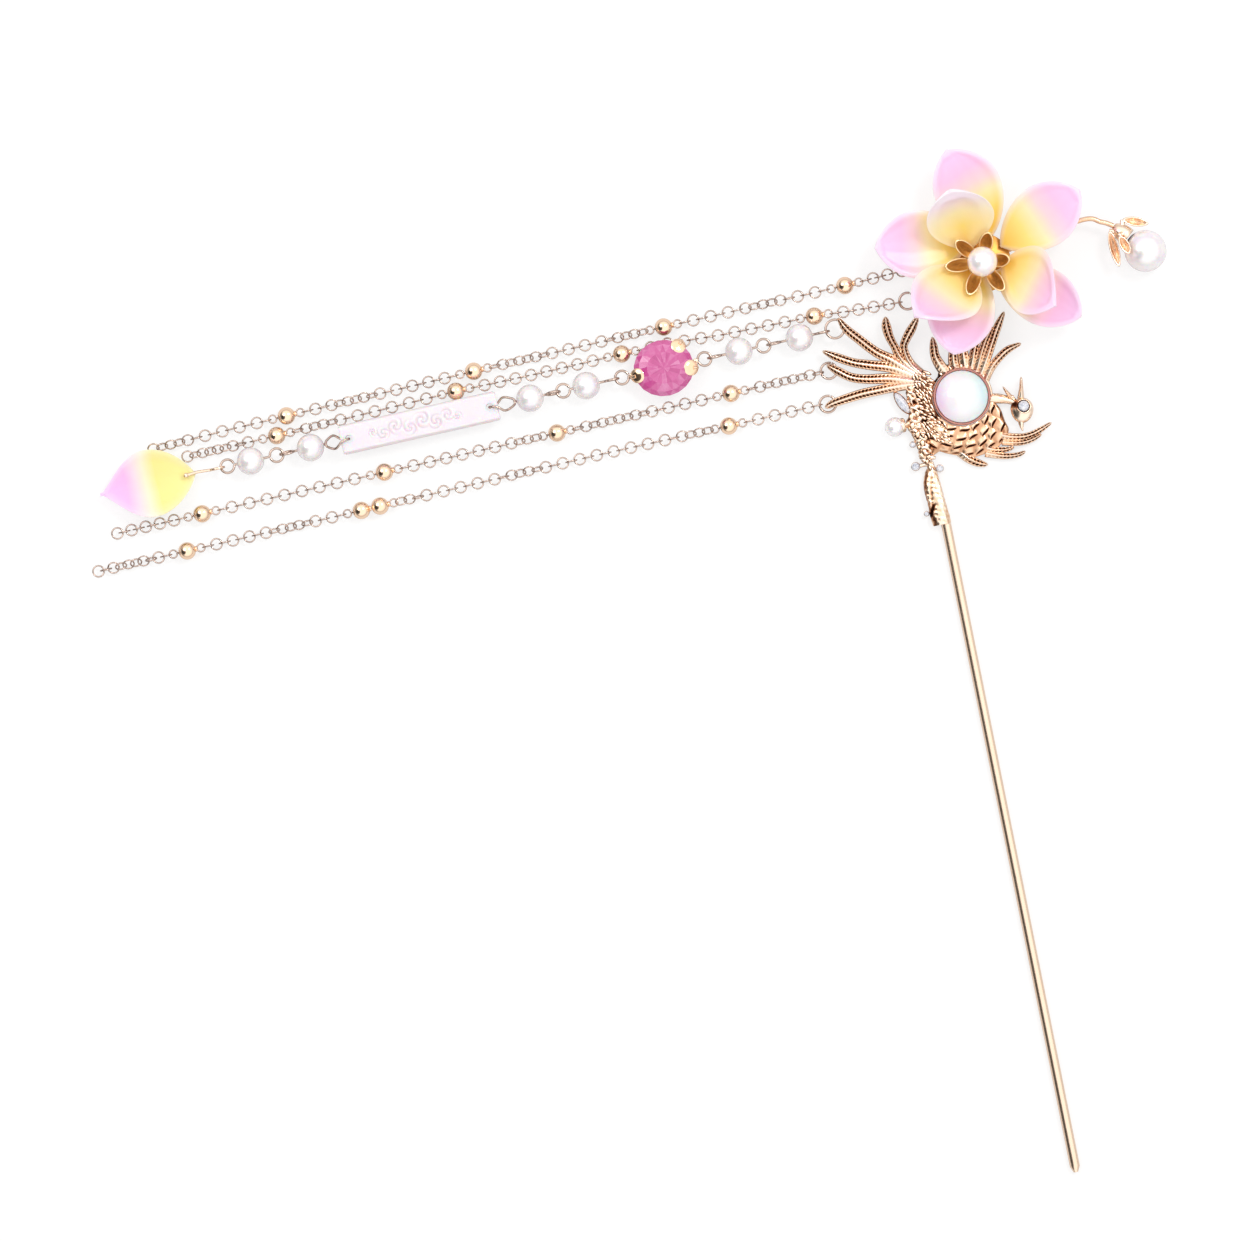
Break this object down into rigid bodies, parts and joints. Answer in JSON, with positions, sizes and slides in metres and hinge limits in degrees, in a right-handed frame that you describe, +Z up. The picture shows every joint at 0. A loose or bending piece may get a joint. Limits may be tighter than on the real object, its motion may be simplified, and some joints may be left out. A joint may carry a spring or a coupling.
{
  "type": "buyao hairpin",
  "caption": "Buyao hair stick with a cast phoenix, a glass-petal flower around a pearl, and hanging strands of fine chain, pearls, a crystal and a carved bar, lying flat.",
  "frame": {"origin": "on the axis of the hair stick, at its shoulder against the branch's foot; the surface that it lies on is at z = -1 mm", "axes": "-Y along the stick towards its tip, -X along the hanging strands, +Z up off the surface that the hairpin lies on"},
  "size_m": [0.2234, 0.2055, 0.0189],
  "materials": {
    "gold": "rose-gold plated, polished high spots over darker recesses",
    "chain_gold": "rose-gold plated wire, bright",
    "opal": "polished dome, milky with blue and lilac",
    "clear_stone": "faceted, polished",
    "pearl": "pearl lustre",
    "petal_glass": "frosted glass, yellow at the base to pink at the tip",
    "pink_crystal": "faceted, polished",
    "carved_stone": "translucent white, carved scroll relief, polished"
  },
  "bodies": {
    "root": {"stick": "gold", "branch": "gold", "phoenix": "gold", "bezel": "gold", "cabochon": "opal", "eye_stone": "clear_stone", "branch_pearl": "pearl", "branch_pearl_cap": "gold", "branch_stone_1": "clear_stone", "branch_stone_2": "clear_stone", "branch_stone_3": "clear_stone", "branch_stone_4": "clear_stone", "branch_stone_5": "clear_stone", "flower_frame": "gold", "petal_1": "petal_glass", "petal_2": "petal_glass", "petal_3": "petal_glass", "petal_4": "petal_glass", "petal_5": "petal_glass", "petal_6": "petal_glass", "petal_7": "petal_glass", "petal_8": "petal_glass", "flower_cap": "gold", "flower_pearl": "pearl", "flower_pin": "gold", "bud_cap": "gold", "bud_pearl": "pearl", "ring_1": "chain_gold", "ring_2": "chain_gold", "ring_3": "chain_gold", "ring_4": "chain_gold", "ring_5": "chain_gold", "chain_1": "chain_gold", "chain_2": "chain_gold", "chain_3": "chain_gold", "chain_4": "chain_gold", "pearl_1": "pearl", "pearl_2": "pearl", "pearl_3": "pearl", "pearl_4": "pearl", "pearl_5": "pearl", "pearl_6": "pearl", "pearl_pin_1": "chain_gold", "pearl_pin_2": "chain_gold", "pearl_pin_3": "chain_gold", "pearl_pin_4": "chain_gold", "pearl_pin_5": "chain_gold", "pearl_pin_6": "chain_gold", "crystal": "pink_crystal", "crystal_setting": "gold", "carved_bar": "carved_stone", "petal_drop": "petal_glass", "petal_drop_pin": "chain_gold"}
  },
  "joints": []
}
